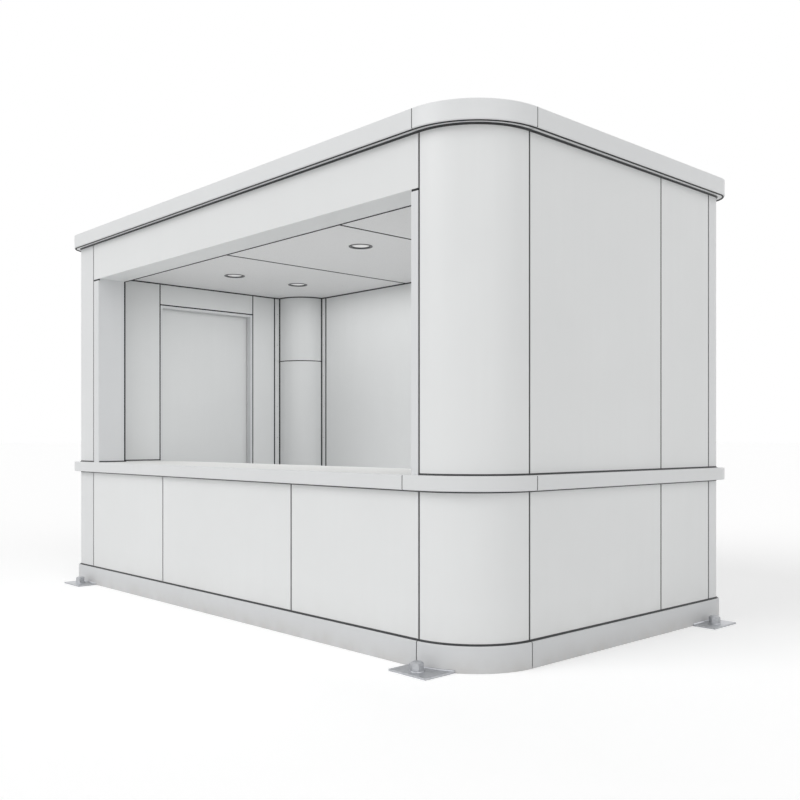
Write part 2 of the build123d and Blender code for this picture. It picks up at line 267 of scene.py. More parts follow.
def stretched(place, scale):
    """Object coordinates with a scale for each axis."""
    mapping = add(place.id_data, "ShaderNodeMapping", Scale=scale)
    put(place, mapping.inputs["Vector"])
    return mapping.outputs[0]


def noise(place, scale, detail=2.0):
    """Soft noise, about 0 to 1, with scale cells in a metre."""
    node = add(place.id_data, "ShaderNodeTexNoise", Scale=scale, Detail=detail)
    put(place, node.inputs["Vector"])
    return node.outputs["Fac"]


def cell_values(place, scale):
    """One value from 0 to 1 for each Voronoi cell, with scale cells in a metre."""
    cells = add(place.id_data, "ShaderNodeTexVoronoi", Scale=scale)
    put(place, cells.inputs["Vector"])
    split = add(place.id_data, "ShaderNodeSeparateColor")
    put(cells.outputs["Color"], split.inputs[0])
    return split.outputs[0]


# %% [markdown]
# A pattern gives one number for each point. It becomes a tone when two colours are mixed by it, a
# gloss when it is stretched over two roughnesses, and a relief when it is the height of a bump.

# %% Tone, gloss and relief


def spread(value, to_low, to_high, from_low=0.3, from_high=0.7):
    """The value's middle range stretched over to_low to to_high."""
    limits = {"From_Min": from_low, "From_Max": from_high, "To_Min": to_low, "To_Max": to_high}
    node = add(value.id_data, "ShaderNodeMapRange", **limits)
    put(value, node.inputs["Value"])
    return node.outputs["Result"]


def tint(share, first, second):
    """Colour from first to second as share goes from 0 to 1. Each is a colour or another node's output."""
    node = add(share.id_data, "ShaderNodeMix", data_type="RGBA")
    put(share, node.inputs["Factor"])
    colour_inputs = [socket for socket in node.inputs if socket.type == "RGBA"]
    for colour, socket in zip((first, second), colour_inputs):
        put(colour, socket)
    return next(output for output in node.outputs if output.type == "RGBA")


def shade(colour, factor):
    """A colour with each part times factor."""
    return tuple(part * factor for part in colour)


def dress(material, colour, roughness, *layers, **plain):
    """Sets the shader's colour, roughness and plain inputs, and its relief.

    The relief adds up height layers, each (value, depth in metres), as bump.
    """
    shader = material.node_tree.nodes["Principled BSDF"]
    put(colour, shader.inputs["Base Color"])
    put(roughness, shader.inputs["Roughness"])
    normal = None
    for value, depth in layers:
        bump = add(shader.id_data, "ShaderNodeBump", Strength=1.0, Distance=depth)
        put(value, bump.inputs["Height"])
        if normal is not None:
            put(normal, bump.inputs["Normal"])
        normal = bump.outputs["Normal"]
    put(normal, shader.inputs["Normal"])
    for name, value in plain.items():
        shader.inputs[name.replace("_", " ")].default_value = value
    return material


# %% [markdown]
# ## Coated metal
# Most of the booth is coated metal. Such a coat has a fine orange-peel surface, a slow drift in
# tone, streaks where rain ran down, dust near the ground, and sheet that is never quite flat. One
# function makes them all, and each finish only names its colour, roughness and grain.

# %% Coated metal
PEEL_PER_M, WAVE_PER_M, PATCH_PER_M, DUST_PER_M = 420.0, 1.6, 9.6, 9.0
RAIN_STREAK_PER_M, STREAK_SHARE = (22.0, 22.0, 0.9), 0.6
DRIFT_DARKENS, STREAK_DARKENS = 2.0, 1.5
ROUGH_DRIFT = 0.05
DUST, THIN_DUST = (0.42, 0.39, 0.35), 0.3


def coating(name, colour, rough=0.38, drift=0.018, peel=0.000015, wave=0.0004, dust=0.0, dust_top=0.3):
    """Satin paint on sheet metal. Its dust is strongest at the ground and gone at dust_top."""
    material, place = new_finish(name)
    slow = noise(place, WAVE_PER_M, detail=3.0)
    tone = tint(spread(slow, 0.0, 1.0), shade(colour, 1.0 - DRIFT_DARKENS * drift), colour)
    streak = noise(stretched(place, RAIN_STREAK_PER_M), 1.0, detail=3.0)
    tone = tint(spread(streak, 0.0, STREAK_SHARE), tone, shade(colour, 1.0 - STREAK_DARKENS * drift))
    if dust:
        height = add(material.node_tree, "ShaderNodeSeparateXYZ")
        put(place, height.inputs[0])
        ragged = add(material.node_tree, "ShaderNodeMath", operation="MULTIPLY")
        put(spread(height.outputs["Z"], dust, 0.0, 0.0, dust_top), ragged.inputs[0])
        put(spread(noise(place, DUST_PER_M, detail=5.0), THIN_DUST, 1.0), ragged.inputs[1])
        tone = tint(ragged.outputs[0], tone, DUST)
    patch = noise(place, PATCH_PER_M, detail=4.0)
    roughness = spread(patch, rough - ROUGH_DRIFT, rough + ROUGH_DRIFT)
    return dress(material, tone, roughness, (slow, wave), (noise(place, PEEL_PER_M, detail=1.0), peel))


COATINGS = {
    "panel_coating": dict(colour=(0.80, 0.81, 0.81), dust=0.16),
    "post_coating": dict(colour=(0.76, 0.77, 0.775), dust=0.16),
    "door_coating": dict(colour=(0.79, 0.80, 0.80), rough=0.34),
    "plinth_steel": dict(colour=(0.66, 0.67, 0.68), rough=0.45, dust=0.40, dust_top=0.10),
    "rail_trim": dict(colour=(0.74, 0.75, 0.755), rough=0.36),
    "roof_cap_trim": dict(colour=(0.77, 0.78, 0.785), rough=0.34),
    "roof_sheet": dict(colour=(0.60, 0.61, 0.62), rough=0.55, drift=0.05),
    "bearer_steel": dict(colour=(0.28, 0.29, 0.30), rough=0.60, drift=0.05),
    "bracket_steel": dict(colour=(0.72, 0.73, 0.73), rough=0.42),
    "frame_aluminium": dict(colour=(0.74, 0.75, 0.76), rough=0.36, peel=0.00001, wave=0.0001),
    "casing_sheet": dict(colour=(0.78, 0.79, 0.79), rough=0.36),
    "light_fitting": dict(colour=(0.075, 0.078, 0.082), rough=0.34, drift=0.05),
}
finishes = {name: coating(name, **look) for name, look in COATINGS.items()}
print("coated finishes:", len(finishes))

# %% [markdown]
# ## Bare metals
# Hot-dip zinc freezes in flat crystals, the spangle, so the anchor plates and bolts get Voronoi
# cells that differ a little in tone and shine. Stainless hinges and handles are brushed: noise
# that is stretched a hundredfold along the brush line.

# %% Zinc and brushed steel
SPANGLE_PER_M, BLOOM_PER_M, BLOOM_DEPTH = 85.0, 60.0, 0.0002
ZINC_DARK, ZINC_PALE = (0.43, 0.44, 0.46), (0.52, 0.53, 0.55)
ZINC_ROUGHNESS, ZINC_METALLIC = (0.36, 0.46), 0.85
HAIRS_PER_M, HAIR_ENDS_PER_M, HAIR_DEPTH = 900.0, 9.0, 0.00004
BRUSHED_ROUGHNESS, HAIR_SHADE = (0.28, 0.42), 0.86


def galvanised(name):
    """Zinc with spangle about 12 mm across, a dull bloom and faint pits."""
    material, place = new_finish(name)
    crystal = cell_values(place, SPANGLE_PER_M)
    roughness = spread(crystal, *ZINC_ROUGHNESS, 0.0, 1.0)
    bloom = (noise(place, BLOOM_PER_M, detail=5.0), BLOOM_DEPTH)
    return dress(material, tint(crystal, ZINC_DARK, ZINC_PALE), roughness, bloom, Metallic=ZINC_METALLIC)


def brushed(name, colour, axis):
    """Metal brushed along axis 0, 1 or 2: noise cells long that way and hair-thin across."""
    material, place = new_finish(name)
    scale = [HAIRS_PER_M] * 3
    scale[axis] = HAIR_ENDS_PER_M
    hair = noise(stretched(place, scale), 1.0, detail=3.0)
    tone = tint(spread(hair, 0.0, 1.0), shade(colour, HAIR_SHADE), colour)
    return dress(material, tone, spread(hair, *BRUSHED_ROUGHNESS), (hair, HAIR_DEPTH), Metallic=1.0)


finishes["galvanised_steel"] = galvanised("galvanised_steel")
finishes["handle_steel"] = brushed("handle_steel", (0.60, 0.61, 0.62), axis=1)
finishes["hinge_steel"] = brushed("hinge_steel", (0.56, 0.57, 0.58), axis=2)
finishes["threshold_aluminium"] = brushed("threshold_aluminium", (0.66, 0.67, 0.68), axis=1)
print("coated and metal finishes:", len(finishes))

# %% [markdown]
# ## Boards and sheets
# The counter is satin laminate with a fine speckle, the floor a chip-patterned vinyl sheet, and the
# ceiling a matt board with a dusting of pinholes. All three only show close up, as real ones do.

# %% Laminate, vinyl, board
CHIP_BLUR = 0.01
CLOUD_PER_M = 3.0
PITS_PER_CHIP = 0.6
SHINIER, DULLER = 0.05, 0.07


def speckled(name, base, chip, scale, share, rough, pit):
    """A base colour with small chips of another: Voronoi cells whose own value is under share."""
    material, place = new_finish(name)
    chosen = spread(cell_values(place, scale), 1.0, 0.0, share - CHIP_BLUR, share + CHIP_BLUR)
    roughness = spread(noise(place, CLOUD_PER_M, detail=3.0), rough - SHINIER, rough + DULLER)
    return dress(material, tint(chosen, base, chip), roughness, (noise(place, PITS_PER_CHIP * scale), pit))


# Base colour, chip colour, cells in a metre, share of chips, roughness, depth of the pits.
BOARDS = {
    "counter_laminate": ((0.78, 0.78, 0.77), (0.73, 0.73, 0.72), 900.0, 0.16, 0.50, 0.00001),
    "floor_covering": ((0.40, 0.41, 0.42), (0.55, 0.56, 0.57), 260.0, 0.22, 0.46, 0.00008),
    "ceiling_board": ((0.80, 0.80, 0.80), (0.68, 0.68, 0.68), 420.0, 0.05, 0.80, 0.00012),
}
finishes.update({name: speckled(name, *look) for name, look in BOARDS.items()})

for subpart in frame["record"]["subparts"]:
    mesh = nodes[subpart["node"]].data
    mesh.materials.clear()
    mesh.materials.append(finishes[subpart["material_slot"]])
print("finishes on the frame:", len(finishes))

# %% [markdown]
# ## Rubber, sealant and acrylic
# The joints are what make this booth read: each is a dark line. Extruded rubber has a dull skin
# with a slight bloom, sealant is smoother, and the lamp lenses are frosted acrylic that glows a
# little.

# %% Soft finishes
SKIN_PER_M, SKIN_DEPTH = 700.0, 0.00004
RUBBER_BLOOM_PER_M, BLOOM_PALER, RUBBER_DRIFT, RUBBER_SPECULAR = 30.0, 1.6, 0.08, 0.30
FROST_PER_M, FROST_DEPTH, FROST_ROUGHNESS = 1200.0, 0.00003, 0.42
LENS_DARK, LENS_PALE = (0.86, 0.86, 0.85), (0.92, 0.92, 0.91)
LENS_LIGHT, LENS_GLOW = (1.0, 0.98, 0.95, 1.0), 0.12


def rubber(name, colour, rough):
    """Black extruded rubber: a dull, slightly uneven skin."""
    material, place = new_finish(name)
    bloom = noise(place, RUBBER_BLOOM_PER_M, detail=4.0)
    tone = tint(spread(bloom, 0.0, 1.0), colour, shade(colour, BLOOM_PALER))
    roughness = spread(bloom, rough - RUBBER_DRIFT, rough + RUBBER_DRIFT)
    skin = (noise(place, SKIN_PER_M), SKIN_DEPTH)
    return dress(material, tone, roughness, skin, Specular_IOR_Level=RUBBER_SPECULAR)


def frosted(name):
    """Opal acrylic over a lamp: white, softly glossy, with a little light of its own."""
    material, place = new_finish(name)
    grain = noise(place, FROST_PER_M)
    glow = dict(Emission_Color=LENS_LIGHT, Emission_Strength=LENS_GLOW)
    return dress(material, tint(grain, LENS_DARK, LENS_PALE), FROST_ROUGHNESS, (grain, FROST_DEPTH), **glow)


seal_rubber = rubber("seal_rubber", (0.016, 0.016, 0.017), 0.62)
sealant = rubber("sealant", (0.030, 0.031, 0.033), 0.46)
opal = frosted("opal_acrylic")
print("soft finishes:", seal_rubber.name, sealant.name, opal.name)

# %% [markdown]
# ## Surfaces from two parameters
# Almost every added piece is one idea: a small profile carried along a line. The profile's points are
# pairs (out, across), and the line has, at each station, a base point and two directions. The whole
# surface is then one array sum, with no loop over its points. X, Y and Z are the unit vectors.

# %% Grids
X, Y, Z = np.eye(3)


def outward_order(profile):
    """The profile's points in the order that makes its faces look outwards (counterclockwise)."""
    out, across = profile[:, 0], profile[:, 1]
    twice_area = np.sum(out * np.roll(across, -1) - np.roll(out, -1) * across)
    return profile if twice_area > 0 else profile[::-1]


def grid_faces(rows, columns, closed=False):
    """Quads between neighbouring rows of points, each row a closed loop, and a face on each end."""
    i = np.arange(rows if closed else rows - 1)[:, None]
    j = np.arange(columns)[None, :]
    here, ahead, j_next = i * columns, (i + 1) % rows * columns, (j + 1) % columns
    faces = np.stack([here + j, ahead + j, ahead + j_next, here + j_next], axis=-1).reshape(-1, 4).tolist()
    if not closed:
        faces.append(list(range(columns)))
        faces.append(list(range((rows - 1) * columns, rows * columns))[::-1])
    return faces


def swept_grid(profile, base, out, across, closed=False):
    """P[i, j] = base[i] + a[j] * out[i] + b[j] * across[i], with its faces and two end caps."""
    profile = outward_order(np.asarray(profile, dtype=float))
    base, out, across = (line[:, None, :] for line in np.broadcast_arrays(base, out, across))
    points = base + profile[:, :1] * out + profile[:, 1:] * across
    return points.reshape(-1, 3), grid_faces(len(base), len(profile), closed)


# %% [markdown]
# One piece is one mesh of many such surfaces. All faces are smooth, and an edge stays crisp where
# they meet at more than 35 degrees, so that a bulge looks round and a corner looks cut.

# %% Pieces
SHARP_EDGE = math.radians(35.0)


def joined(parts):
    """Several (points, faces) parts as one."""
    faces, start = [], 0
    for points, part in parts:
        faces += [[index + start for index in face] for face in part]
        start += len(points)
    return np.concatenate([points for points, _ in parts]), faces


def new_piece(name, parts, material=None, slot=None, body="booth"):
    """Makes one mesh object of (points, faces) parts, lets it ride on its body and prints its size.

    Its finish is a material of its own, or else the finish made for that slot.
    """
    points, faces = joined(parts)
    mesh = bpy.data.meshes.new(name)
    mesh.from_pydata(points.tolist(), [], faces)
    mesh.materials.append(material or finishes[slot])
    mesh.polygons.foreach_set("use_smooth", np.ones(len(faces), dtype=bool))
    mesh.set_sharp_from_angle(angle=SHARP_EDGE)
    mesh.update()
    piece = bpy.data.objects.new(name, mesh)
    scene.collection.objects.link(piece)
    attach(piece, body)
    print(f"{name}: {len(parts)} parts, {len(faces)} faces")
    return piece


# %% [markdown]
# Straight runs need only their corners. Where two runs meet, the section is stretched along the
# mitre, as a picture frame's is, so that it keeps its width on both sides.

# %% Straight and mitred runs


def mitred_run(profile, corners, normal=Z, closed=False):
    """Carries (out, across) points along straight runs in one plane, whose normal is across.

    Each run's out is forward x normal. At a bend, out is the two outs' sum / (1 + their dot product).
    """
    corners = np.asarray(corners, dtype=float)
    ahead = np.roll(corners, -1, axis=0) - corners
    ahead /= np.linalg.norm(ahead, axis=1, keepdims=True)
    out_ahead = np.cross(ahead, normal)
    out_behind = np.roll(out_ahead, 1, axis=0)
    if not closed:
        out_behind[0] = out_ahead[0]
        out_ahead[-1] = out_behind[-1]
    out = (out_behind + out_ahead) / (1.0 + np.sum(out_behind * out_ahead, axis=1, keepdims=True))
    return swept_grid(profile, corners, out, normal, closed)


def straight_run(profile, start, end, out):
    """Carries (out, across) points in a straight line; across is out x forward."""
    forward = np.subtract(end, start) / np.linalg.norm(np.subtract(end, start))
    return mitred_run(profile, [start, end], np.cross(out, forward))


# %% [markdown]
# The plan of the walls is a line of its own: four straights and four quarter circles. Walking
# round it counterclockwise, the heading turns by a quarter at each corner, and the outward normal
# is always on the right hand.

# %% The booth's outline
wall_corners = np.array([
    (wall_left, wall_front), (wall_right, wall_front), (wall_right, wall_back), (wall_left, wall_back)
])
headings = np.array([(1, 0), (0, 1), (-1, 0), (0, -1)])
corner_radii = np.array([large_radius, SMALL_RADIUS, SMALL_RADIUS, SMALL_RADIUS])
straight_starts = wall_corners + np.roll(corner_radii, 1)[:, None] * headings
straight_ends = np.roll(wall_corners, -1, axis=0) - corner_radii[:, None] * headings
straight_lengths = np.linalg.norm(straight_ends - straight_starts, axis=1)
arc_lengths = corner_radii * math.pi / 2
side_starts = np.concatenate([[0.0], np.cumsum(straight_lengths + arc_lengths)])
outline_length = side_starts[-1]


def outline_at(s):
    """Base points and outward normals at lengths s along the outline.

    On side k, at t past its start: start + t * heading on the straight, and on the arc centre +
    radius * (sin g, -cos g), where g is k quarter turns + (t - straight) / radius.
    """
    s = np.asarray(s, dtype=float) % outline_length
    side = np.clip(np.searchsorted(side_starts, s, side="right") - 1, 0, 3)
    t = s - side_starts[side]
    past = np.maximum(t - straight_lengths[side], 0.0)
    run = np.minimum(t, straight_lengths[side])
    radius = corner_radii[side]
    turned = side * math.pi / 2 + past / radius
    normal = np.stack([np.sin(turned), -np.cos(turned)], axis=1)
    inward = headings[(side + 1) % 4]
    point = straight_starts[side] + run[:, None] * headings[side]
    point += np.where(past[:, None] > 0, radius[:, None] * (inward + normal), 0.0)
    flat = np.zeros(len(s))
    return np.column_stack([point, flat]), np.column_stack([normal, flat])


print("outline:", round(outline_length, 3), "m round")

# %% [markdown]
# Bands, beads and drip seals all follow this line, all round or from one place to another. A corner
# arc is cut into 24 steps, and a straight needs none.

# %% Paths along the outline
FRONT, RIGHT, BACK, LEFT = range(4)
ARC_STEPS = 24
SAME_STATION = 1e-6


def stations(start, end):
    """Lengths from start to end, with each corner arc cut into equal steps."""
    arcs = np.linspace(side_starts[:4] + straight_lengths, side_starts[1:], ARC_STEPS + 1).T.ravel()
    marks = np.concatenate([arcs, arcs + outline_length])
    inside = marks[(marks > start + SAME_STATION) & (marks < end - SAME_STATION)]
    return np.concatenate([[start], inside, [end]])


def along(side, place):
    """Length along the outline at x on the front or back wall, or at y on the right or left wall."""
    step = place - straight_starts[side][side % 2]
    return side_starts[side] + (step if side in (FRONT, RIGHT) else -step)


def round_the_booth(profile, start=None, end=None):
    """Carries a profile of (out, height) points along the outline, all round or from start to end."""
    closed = start is None
    s = stations(0.0, outline_length)[:-1] if closed else stations(start, end)
    return swept_grid(profile, *outline_at(s), Z, closed)


print("stations all round:", len(stations(0.0, outline_length)) - 1)

# %% [markdown]
# ## Joint strips between the panels
# Between two panels the outer skins stop short, and a soft black strip is pressed into the gap. Its
# face bulges a little, and sits just behind the skins, so every seam gets a crisp dark line with a
# lit edge. Painted lines would look flat.

# %% Vertical joint strips
STRIP_DEPTH = 0.010
STRIP_SET_BACK = 0.0015
STRIP_BULGE = 0.0025
STRIP_FIT = 0.0001
ACROSS = np.linspace(-0.5, 0.5, 9)


def strip_profile(width):
    """(out, across): a flat back and a face that bulges as half a cosine wave."""
    face = -STRIP_SET_BACK - STRIP_BULGE * (1.0 - np.cos(math.pi * ACROSS))
    half = width / 2 - STRIP_FIT
    front_points = np.column_stack([face, ACROSS * 2 * half])
    return np.concatenate([front_points, [(-STRIP_DEPTH, half), (-STRIP_DEPTH, -half)]])


def upright(s, z0, z1, profile):
    """A profile of (out, across) points carried straight up at length s of the outline."""
    base, normal = outline_at([s])
    return straight_run(profile, base[0] + z0 * Z, base[0] + z1 * Z, normal[0])


seam_left_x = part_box("front_panel_centre")[low].x
seam_right_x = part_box("front_panel_centre")[high].x
hatch_left_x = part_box("front_panel_left")[low].x
back_post_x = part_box("back_panel_right")[high].x
seam_right_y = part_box("right_panel_front")[high].y
rear_post_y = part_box("right_panel_rear")[high].y
front_post_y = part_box("left_panels")[low].y
full_height = [
    (FRONT, hatch_left_x), (FRONT, corner_x), (RIGHT, corner_y), (RIGHT, seam_right_y),
    (RIGHT, rear_post_y), (BACK, back_post_x), (BACK, seam_right_x), (BACK, seam_left_x),
    (BACK, hatch_left_x), (LEFT, rear_post_y), (LEFT, front_post_y),
]
under_counter = [(FRONT, seam_left_x), (FRONT, seam_right_x)]
strip = strip_profile(JOINT)
strips = [upright(along(*seam), plinth_top, wall_top, strip) for seam in full_height]
strips += [upright(along(*seam), plinth_top, rail_low, strip) for seam in under_counter]
new_piece("joint_strips", strips, seal_rubber)

# %% [markdown]
# Beside the door frame the skin stops half a joint short of the frame, and that narrower gap is
# filled too. The header stops a joint above the jambs, which leaves a short level gap at each end.

# %% Strips at the door frame and the header
LEFT_JAMB_WIDTH = 0.086
RIGHT_JAMB_WIDTH = 0.054
left_jamb_inner = hatch_left_x + LEFT_JAMB_WIDTH
right_jamb_inner = corner_x - RIGHT_JAMB_WIDTH
doorway_low_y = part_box("over_door_panel")[low].y
doorway_high_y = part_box("over_door_panel")[high].y
narrow_strip = strip_profile(JOINT / 2)
inset = JOINT / 2
header_gap_z = header_low - inset
frame_strips = [
    upright(along(LEFT, y), plinth_top, wall_top, narrow_strip)
    for y in (doorway_low_y - inset / 2, doorway_high_y + inset / 2)
]
frame_strips += [
    straight_run(strip, (x0, wall_front, header_gap_z), (x1, wall_front, header_gap_z), -Y)
    for x0, x1 in ((hatch_left_x + inset, left_jamb_inner), (right_jamb_inner, corner_x - inset))
]
new_piece("frame_strips", frame_strips, seal_rubber)

# %% [markdown]
# ## Sealant beads and the drip seal
# Where the roof cap, the rail and the plinth meet the wall, a tooled bead of dark sealant keeps the
# rain out. It is a hollow quarter round carried along the outline.

# %% Beads round the booth
BEAD = 0.009
BEAD_EDGE = 0.0007
QUARTER_TURN = np.linspace(0.0, math.pi / 2, 6)


def bead(out_leg, across_leg, level=0.0):
    """(out, across): a hollow quarter round, one leg along each of two faces, with its corner at level.

    Its edges are a little thick, so that the facets of a round wall never cut through them.
    """
    edge_out, edge_across = math.copysign(BEAD_EDGE, out_leg), math.copysign(BEAD_EDGE, across_leg)
    curve = np.column_stack([
        edge_out + (out_leg - edge_out) * (1.0 - np.sin(QUARTER_TURN)),
        edge_across + (across_leg - edge_across) * (1.0 - np.cos(QUARTER_TURN)),
    ])
    return np.concatenate([[(out_leg, 0.0)], curve, [(0.0, across_leg), (0.0, 0.0)]]) + (0.0, level)


def rectangle(out_low, out_high, z_low, z_high):
    """(out, height) corners of a rectangle."""
    return [(out_low, z_low), (out_high, z_low), (out_high, z_high), (out_low, z_high)]


door_gap_half = -doorway_low_y + JOINT
rail_start = along(LEFT, -door_gap_half)
rail_end = along(LEFT, door_gap_half) + outline_length
beads = [
    round_the_booth(bead(BEAD, -BEAD, wall_top)),
    round_the_booth(bead(BEAD, -BEAD, rail_low), rail_start, rail_end),
    round_the_booth(bead(BEAD, BEAD, rail_top), along(FRONT, corner_x), along(LEFT, door_gap_half)),
    round_the_booth(bead(BEAD, BEAD, rail_top), rail_start, along(FRONT, hatch_left_x) + outline_length),
    round_the_booth(bead(BEAD, BEAD, plinth_top)),
]
new_piece("sealant_beads", beads, sealant)

# %% [markdown]
# Under the cap's outer edge runs a slim rubber drip seal, so that water falls there and doesn't
# creep back to the wall.

# %% Drip seal
DRIP_WIDTH, DRIP_DROP, DRIP_INSET = 0.008, 0.004, 0.007
drip_out = cap_reach - DRIP_INSET
drip = rectangle(drip_out - DRIP_WIDTH, drip_out, wall_top - DRIP_DROP, wall_top)
new_piece("drip_seal", [round_the_booth(drip)], seal_rubber)

# %% [markdown]
# ## Expansion joints in the bands
# The plinth, the rail and the roof cap come in lengths. In each gap between two lengths sits a
# rubber filler with the band's own section, set 2 mm back.

# %% Band fillers
SET_BACK = 0.002
BAND_SEAM = 0.150
CAP_INNER = 0.060
plate_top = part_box("anchor_plates")[high].z
rail_seam_x = (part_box("rail_front")[high].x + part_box("rail_corner")[low].x) / 2
shared_seams = [
    along(RIGHT, corner_y), along(BACK, wall_right - BAND_SEAM),
    along(LEFT, wall_back - BAND_SEAM), along(LEFT, wall_front + BAND_SEAM),
]
bands = (
    (SET_BACK - CAP_INNER, cap_reach, wall_top, roof_top, corner_x),
    (0.0, rail_reach, rail_low, rail_top, rail_seam_x),
    (0.0, plinth_reach, plate_top, plinth_top, corner_x),
)
half_joint = BAND_JOINT / 2 - STRIP_FIT
fillers = []
for inner, reach, z_low, z_high, front_seam_x in bands:
    band = rectangle(inner, reach - SET_BACK, z_low + SET_BACK, z_high - SET_BACK)
    seams = shared_seams + [along(FRONT, front_seam_x)]
    fillers += [round_the_booth(band, s - half_joint, s + half_joint) for s in seams]
new_piece("band_fillers", fillers, seal_rubber)

# %% [markdown]
# ## Joints inside the room
# Inside, the joints are covered rather than filled: a low rubber crown is clipped over each. Its
# paths run from floor to ceiling, or follow the room's plan at one level.

# %% Profiles and paths for the room
COVER_BASE = 0.0005
ROOM_ARC_STEPS = 16


def crown(width, rise):
    """(out, across): a strip with a flat base and a face that rises as half a cosine wave."""
    face = np.column_stack([rise * np.cos(math.pi * ACROSS), ACROSS * width])
    return np.concatenate([face, [(-COVER_BASE, width / 2), (-COVER_BASE, -width / 2)]])


def arc(centre_x, centre_y, radius, start_degrees, end_degrees):
    """Plan points of a circular arc."""
    angle = np.radians(np.linspace(start_degrees, end_degrees, ROOM_ARC_STEPS + 1))
    return np.column_stack([centre_x + radius * np.cos(angle), centre_y + radius * np.sin(angle)])


def at_level(plan_points, z):
    """Plan points as points in space at height z."""
    return np.column_stack([plan_points, np.full(len(plan_points), z)])


def floor_to_ceiling(profile, x, y, out):
    """Carries (out, across) points up the whole height of the room."""
    return straight_run(profile, (x, y, plinth_top), (x, y, ceiling_level), out)


# %% [markdown]
# Two covers stand beside the staff door, one lies along its head, one runs round the casing in the
# corner, and two wider ones hold the edges of the ceiling boards.

# %% Cover strips
COVER_WIDTH, COVER_RISE = 0.010, 0.0020
CASING_RADIUS, CASING_COVER, CASING_JOINT_LEVEL = 0.240, 0.008, 1.820
CEILING_COVER, CEILING_COVER_RISE, CEILING_SEAM_X = 0.018, 0.0035, 0.625
TRIM = 0.006
doorway_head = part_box("over_door_panel")[low].z
header_back_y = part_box("header")[high].y
casing_low, casing_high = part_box("corner_casing")
trims_low, trims_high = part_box("casing_trims")
casing_face = np.concatenate([
    [(room_left + TRIM, casing_low.y)],
    arc(casing_high.x - CASING_RADIUS, casing_low.y + CASING_RADIUS, CASING_RADIUS, -90, 0),
    [(casing_high.x, room_back - TRIM)],
])
cover = crown(COVER_WIDTH, COVER_RISE)
door_sides = (doorway_low_y, doorway_high_y)
covers = [floor_to_ceiling(cover, room_left, y, X) for y in door_sides]
covers.append(straight_run(cover, *[(room_left, y, doorway_head) for y in door_sides], X))
covers.append(mitred_run(crown(CASING_COVER, COVER_RISE), at_level(casing_face, CASING_JOINT_LEVEL)))
ceiling_cover = crown(CEILING_COVER, CEILING_COVER_RISE)
for x in (-CEILING_SEAM_X, CEILING_SEAM_X):
    start, end = (x, header_back_y + STRIP_FIT, ceiling_level), (x, room_back, ceiling_level)
    covers.append(straight_run(ceiling_cover, start, end, -Z))
new_piece("room_strips", covers, seal_rubber)

# %% [markdown]
# The inside corners are sealed with the same bead: round ceiling and floor, down the corners, beside
# the casing's trims, and where the counter meets walls and jambs. The paths are plans of the room,
# walked clockwise, so that the room is on the right hand.

# %% Beads in the room
counter_top_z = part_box("counter_top")[high].z
counter_back_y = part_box("counter_top")[high].y
front_end = wall_front + BAND_JOINT
big_arc = arc(corner_x, corner_y, large_radius - WALL_THICKNESS, 0, -90)
back_and_corner = np.concatenate([
    [(room_left, trims_low.y), (room_left + TRIM, trims_low.y)], casing_face,
    [(trims_high.x, room_back - TRIM), (trims_high.x, room_back), (room_right, room_back)], big_arc,
])
ceiling_path = np.concatenate([
    [(room_left, room_front)], back_and_corner,
    [(corner_x, header_back_y), (hatch_left_x, header_back_y), (hatch_left_x, room_front)],
])
floor_path = np.concatenate([
    [(room_left, doorway_high_y)], back_and_corner, [(room_left, room_front), (room_left, doorway_low_y)],
])
counter_right_path = np.concatenate([
    [(room_right, counter_back_y)], big_arc,
    [(corner_x, header_back_y), (right_jamb_inner, header_back_y), (right_jamb_inner, front_end)],
])
counter_left_path = [
    (left_jamb_inner, front_end), (left_jamb_inner, header_back_y), (hatch_left_x, header_back_y),
    (hatch_left_x, room_front), (room_left, room_front), (room_left, counter_back_y),
]
upward, downward = bead(BEAD, BEAD), bead(BEAD, -BEAD)
room_beads = [
    mitred_run(downward, at_level(ceiling_path, ceiling_level), closed=True),
    mitred_run(upward, at_level(floor_path, plinth_top)),
    mitred_run(upward, at_level(counter_right_path, counter_top_z)),
    mitred_run(upward, at_level(counter_left_path, counter_top_z)),
]
corner_beads = [
    (downward, room_right, room_back, -X),
    (downward, room_left, room_front, X),
    (bead(TRIM, BEAD), room_left, trims_low.y, X),
    (upward, room_left + TRIM, casing_low.y, X),
    (upward, casing_high.x, room_back - TRIM, X),
    (bead(BEAD, TRIM), trims_high.x, room_back, X),
]
room_beads += [floor_to_ceiling(*corner_bead) for corner_bead in corner_beads]
new_piece("room_sealant", room_beads, sealant)

# %% [markdown]
# ## Hatch seal
# The hatch's reveal ends in a dark line all round its inner edge: a rubber seal on the jambs and
# under the header, which a night shutter would close against. One crown profile is carried up a
# jamb, along the header and down the other.

# %% Hatch seal
HATCH_SEAL_WIDTH, HATCH_SEAL_RISE = 0.012, 0.004
seal_y = header_back_y - HATCH_SEAL_WIDTH / 2 - STRIP_FIT
hatch_frame = [
    (left_jamb_inner, seal_y, rail_top), (left_jamb_inner, seal_y, header_low),
    (right_jamb_inner, seal_y, header_low), (right_jamb_inner, seal_y, rail_top),
]
hatch_crown = crown(HATCH_SEAL_WIDTH, HATCH_SEAL_RISE)
new_piece("hatch_seal", [mitred_run(hatch_crown, hatch_frame, -Y)], seal_rubber)

# %% [markdown]
# ## Staff door: seal, sweep and threshold
# The leaf closes against a bulb seal on the frame's stop, which fills most of the 6 mm behind it. A
# rubber sweep under the leaf rides with the door. The threshold is ribbed, so that shoes don't slip.

